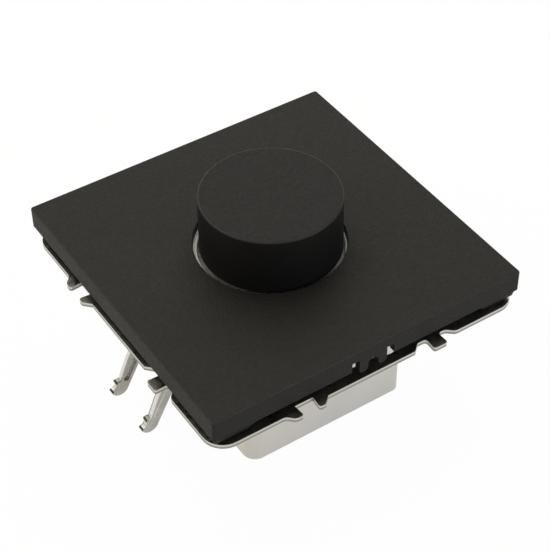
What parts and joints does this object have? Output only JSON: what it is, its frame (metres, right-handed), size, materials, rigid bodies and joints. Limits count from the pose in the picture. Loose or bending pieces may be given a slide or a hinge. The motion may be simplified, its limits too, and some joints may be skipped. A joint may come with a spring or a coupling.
{
  "type": "wall dimmer",
  "caption": "Rotary wall dimmer insert with square cover plate, push-to-switch knob, dovetailed steel support frame, spreading claws and rear housing.",
  "frame": {"origin": "middle of the support frame on its back face, which lies on the wall", "axes": "+Z out of the wall along the knob's axis, X from claw to claw, Y from box screw to box screw"},
  "size_m": [0.0734, 0.0734, 0.0475],
  "materials": {
    "plate_black": "fine matt moulding",
    "knob_black": "fine matt moulding",
    "frame_steel": "galvanised",
    "claw_steel": "bright galvanised",
    "zinc_steel": "zinc plated",
    "spring_steel": "drawn",
    "housing_grey": "moulded",
    "lid_white": "moulded",
    "control_grey": "moulded",
    "laminate_brown": "laminate",
    "board_green": "solder resist",
    "brass": "machined",
    "copper": "enamelled wire",
    "choke_iron": "pressed powder",
    "film_blue": "potted box",
    "can_black": "sleeved can",
    "spreader_aluminium": "rolled",
    "device_black": "moulded"
  },
  "bodies": {
    "insert": {"cover_plate": "plate_black", "support_frame": "frame_steel", "housing_base": "housing_grey", "housing_lid": "lid_white", "housing_screws": "zinc_steel", "control_bush": "brass", "bush_washer": "zinc_steel", "bush_nut": "brass", "control_case": "control_grey", "resistance_wafer": "laminate_brown", "circuit_board": "board_green", "switch_case": "control_grey", "fixed_contacts": "brass", "return_spring": "spring_steel", "choke_core": "choke_iron", "choke_winding": "copper", "film_capacitor": "film_blue", "buffer_capacitor": "can_black", "heat_spreader": "spreader_aluminium", "power_transistors": "device_black", "terminal_clamps": "brass", "terminal_screws": "zinc_steel"},
    "rotor": {"wiper_rotor": "lid_white", "wiper_contact": "brass"},
    "knob": {"control_knob": "knob_black", "knob_clip": "spring_steel", "spindle": "zinc_steel"},
    "plunger": {"switch_plunger": "lid_white", "contact_bridge": "brass"},
    "claw_screw_left": {"claw_screw_left": "zinc_steel"},
    "claw_left": {"claw_left": "claw_steel"},
    "claw_nut_left": {"claw_nut_left": "zinc_steel"},
    "claw_screw_right": {"claw_screw_right": "zinc_steel"},
    "claw_right": {"claw_right": "claw_steel"},
    "claw_nut_right": {"claw_nut_right": "zinc_steel"}
  },
  "joints": [
    {"name": "knob_turn", "type": "hinge", "parent": "insert", "child": "rotor", "pos_m": [0, 0, 0], "axis": [0, 0, 1], "range_deg": [-135, 135]},
    {"name": "knob_push", "type": "slide", "parent": "rotor", "child": "knob", "axis": [0, 0, 1], "range_m": [-0.0012, 0], "stiffness_N_per_m": 1500, "springref_m": 0.0004},
    {"name": "plunger_push", "type": "slide", "parent": "insert", "child": "plunger", "axis": [0, 0, 1], "range_m": [-0.0012, 0], "deforming": ["return_spring"]},
    {"name": "claw_screw_left_turn", "type": "hinge", "parent": "insert", "child": "claw_screw_left", "pos_m": [-0.029, 0, 0], "axis": [0, 0, 1], "range_deg": [0, 2160]},
    {"name": "claw_left_swing", "type": "hinge", "parent": "insert", "child": "claw_left", "pos_m": [-0.0235, 0, -0.0015], "axis": [0, 1, 0], "range_deg": [-24, 0]},
    {"name": "claw_nut_left_travel", "type": "slide", "parent": "insert", "child": "claw_nut_left", "axis": [0, 0, 1], "range_m": [-0.0036, 0]},
    {"name": "claw_screw_right_turn", "type": "hinge", "parent": "insert", "child": "claw_screw_right", "pos_m": [0.029, 0, 0], "axis": [0, 0, 1], "range_deg": [0, 2160]},
    {"name": "claw_right_swing", "type": "hinge", "parent": "insert", "child": "claw_right", "pos_m": [0.0235, 0, -0.0015], "axis": [0, -1, 0], "range_deg": [-24, 0]},
    {"name": "claw_nut_right_travel", "type": "slide", "parent": "insert", "child": "claw_nut_right", "axis": [0, 0, 1], "range_m": [-0.0036, 0]}
  ],
  "couplings": [
    {"joint": "plunger_push", "follows": "knob_push", "ratio": 1},
    {"joint": "claw_left_swing", "follows": "claw_nut_left_travel", "rad_per_m": 116.36},
    {"joint": "claw_screw_left_turn", "follows": "claw_nut_left_travel", "rad_per_m": -10472},
    {"joint": "claw_right_swing", "follows": "claw_nut_right_travel", "rad_per_m": 116.36},
    {"joint": "claw_screw_right_turn", "follows": "claw_nut_right_travel", "rad_per_m": -10472}
  ]
}
